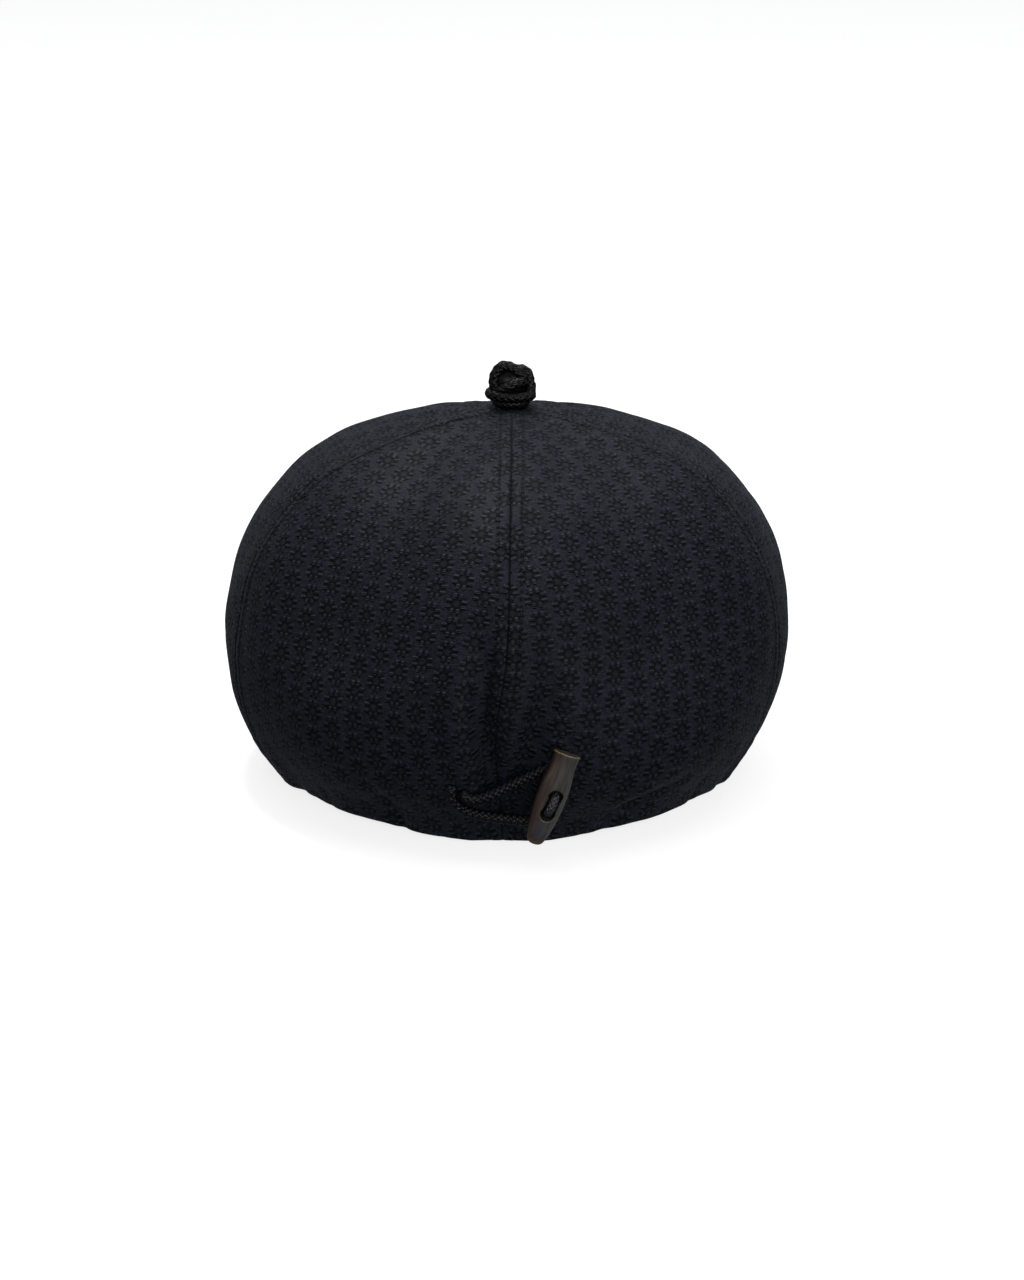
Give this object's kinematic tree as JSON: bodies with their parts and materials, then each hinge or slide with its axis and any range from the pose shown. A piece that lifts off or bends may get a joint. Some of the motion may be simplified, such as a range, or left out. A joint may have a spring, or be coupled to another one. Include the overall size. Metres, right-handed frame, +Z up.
{
  "type": "soft panelled cap",
  "caption": "Soft brimless cap of five sewn panels with a knotted cord button on top and a toggle and cord loop closure at the back hem.",
  "frame": {"origin": "middle of the head opening, in the plane that the hem rests on", "axes": "+Z up through the crown; the back of the cap, with the toggle, faces -Y and the front faces +Y; +X is the side that the toggle is on"},
  "size_m": [0.2252, 0.2476, 0.1663],
  "materials": {
    "crown_cloth": "near-black navy jacquard with small raised motifs",
    "cord": "black braided cord with a soft sheen",
    "horn": "polished grey-brown horn"
  },
  "bodies": {
    "root": {"crown_panel_back_left": "crown_cloth", "crown_panel_back_right": "crown_cloth", "crown_panel_side_left": "crown_cloth", "crown_panel_side_right": "crown_cloth", "crown_panel_front": "crown_cloth", "top_knot": "cord", "closure_loop": "cord", "toggle": "horn", "toggle_stitch": "cord"}
  },
  "joints": []
}
